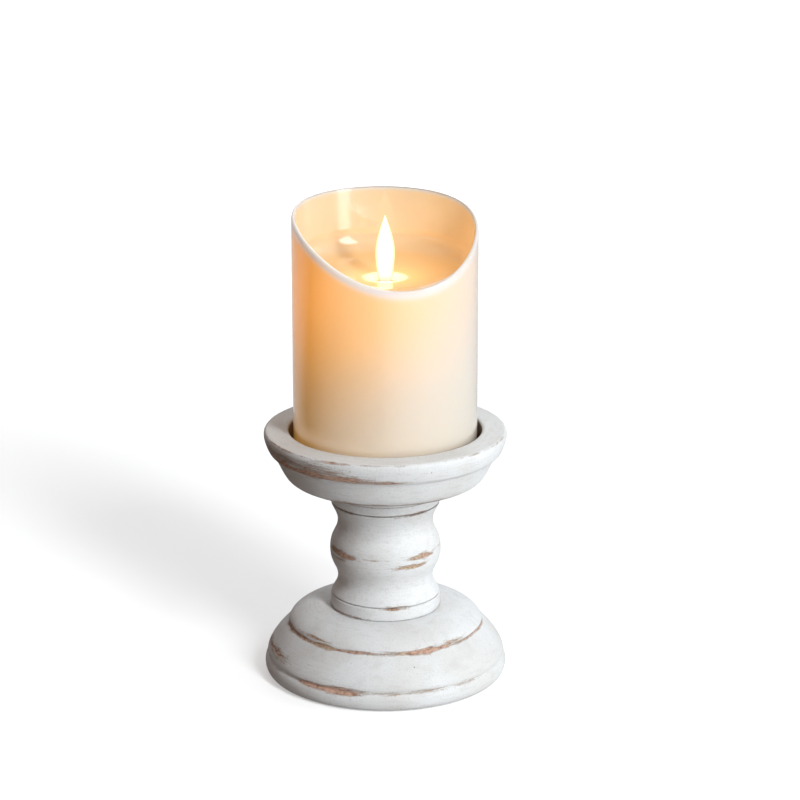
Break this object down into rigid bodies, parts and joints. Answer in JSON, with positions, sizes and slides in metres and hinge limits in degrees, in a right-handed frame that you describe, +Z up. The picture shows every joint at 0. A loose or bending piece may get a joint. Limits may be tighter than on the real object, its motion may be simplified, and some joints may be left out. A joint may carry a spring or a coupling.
{
  "type": "candlestick",
  "caption": "Turned wooden pillar-candle holder with a stepped round foot, beaded stem and shallow dish, holding a battery pillar candle with a swinging flame.",
  "frame": {"origin": "on the turning axis, at the underside of the felt pad, which is the surface that the holder stands on", "axes": "+Z up along the turning axis; -Y towards the front, where the candle's rim dips; +X to the right seen from the front"},
  "size_m": [0.1002, 0.1002, 0.1973],
  "materials": {
    "whitewashed_wood": "matte, chalky paint worn through to brown wood on the edges",
    "bare_wood": "satin",
    "felt": "matte",
    "steel": "satin",
    "copper": "satin",
    "ivory_shell": "glossy, translucent, lit from inside",
    "flame_plastic": "satin, glowing",
    "black_plastic": "matte",
    "cream_plastic": "satin",
    "clear_plastic": "glossy",
    "board_green": "satin",
    "cell_jacket": "satin",
    "lead_red": "matte",
    "lead_black": "matte",
    "lead_grey": "matte"
  },
  "bodies": {
    "holder": {"base": "whitewashed_wood", "stem": "whitewashed_wood", "dish": "whitewashed_wood", "base_screw": "steel", "dish_screw": "steel", "screw_plug": "bare_wood", "felt_pad": "felt"},
    "candle": {"candle_shell": "ivory_shell", "melt_pool": "ivory_shell", "bottom_cap": "cream_plastic", "mechanism_housing": "black_plastic", "flame_wire": "steel", "drive_coil": "copper", "coil_core": "steel", "led": "clear_plastic", "led_holder": "black_plastic", "circuit_board": "board_green", "board_chip": "black_plastic", "board_capacitor": "cell_jacket", "chassis": "black_plastic", "battery_box": "black_plastic", "battery_a": "cell_jacket", "battery_b": "cell_jacket", "contact_spring_a": "steel", "contact_spring_b": "steel", "contact_plate_a": "steel", "contact_plate_b": "steel", "battery_lead_red": "lead_red", "battery_lead_black": "lead_black", "switch_lead": "lead_grey", "cap_screw_1": "steel", "cap_screw_2": "steel", "cap_screw_3": "steel", "cap_screw_4": "steel", "switch_body": "black_plastic"},
    "flame": {"flame": "flame_plastic", "flame_magnet": "steel"},
    "battery_cover": {"battery_cover": "cream_plastic"},
    "mode_switch": {"mode_switch": "black_plastic"}
  },
  "joints": [
    {"name": "candle_lift", "type": "slide", "parent": "holder", "child": "candle", "axis": [0, 0, 1], "range_m": [0, 0.11]},
    {"name": "flame_swing", "type": "hinge", "parent": "candle", "child": "flame", "pos_m": [0, 0, 0.161], "axis": [0, 1, 0], "range_deg": [-8, 8]},
    {"name": "cover_lock", "type": "hinge", "parent": "candle", "child": "battery_cover", "pos_m": [0, 0.004, 0.0995], "axis": [0, 0, 1], "range_deg": [0, 30]},
    {"name": "switch_slide", "type": "slide", "parent": "candle", "child": "mode_switch", "axis": [1, 0, 0], "range_m": [0, 0.003]}
  ]
}
